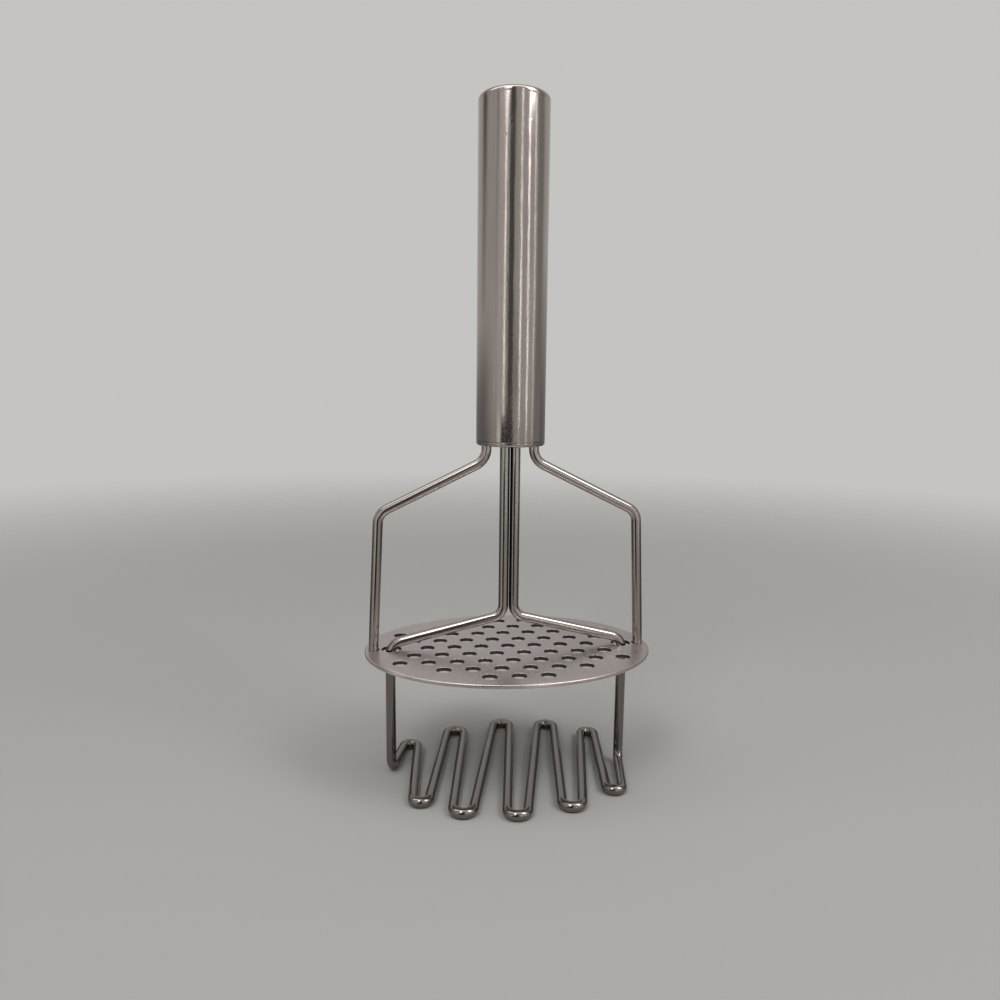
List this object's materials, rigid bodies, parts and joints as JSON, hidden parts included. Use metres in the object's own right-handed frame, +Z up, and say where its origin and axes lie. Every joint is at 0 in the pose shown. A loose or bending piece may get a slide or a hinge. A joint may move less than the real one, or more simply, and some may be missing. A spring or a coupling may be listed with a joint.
{
  "type": "potato masher",
  "caption": "Double-action spring masher: a steel handle on a wire frame carries an oval perforated plate that slides down the legs of a wavy wire grid.",
  "frame": {"origin": "on the work surface under the handle's axis, at the centre of the plate", "axes": "+Z up along the handle, +X from the left leg to the right leg, -Y towards the viewer"},
  "size_m": [0.116, 0.0858, 0.2652],
  "materials": {
    "handle_steel": "satin, brushed along the tube, light wear",
    "wire_steel": "satin, drawn wire",
    "plate_steel": "satin sheet",
    "spring_steel": "drawn spring wire",
    "disc_steel": "plain turned",
    "nylon": "natural white"
  },
  "bodies": {
    "masher": {"press_rod_left": "wire_steel", "press_rod_right": "wire_steel", "wave_grid": "wire_steel", "spring_plate": "disc_steel"},
    "press_head": {"handle_tube": "handle_steel", "top_cap": "handle_steel", "end_cap": "handle_steel", "guide_block": "nylon", "spring_seat": "nylon", "return_spring": "spring_steel", "frame_rod_left": "wire_steel", "frame_rod_right": "wire_steel", "mashing_plate": "plate_steel"}
  },
  "joints": [
    {"name": "press", "type": "slide", "parent": "masher", "child": "press_head", "axis": [0, 0, -1], "range_m": [0, 0.047], "stiffness_N_per_m": 375, "springref_m": -0.03, "deforming": ["return_spring"]}
  ]
}
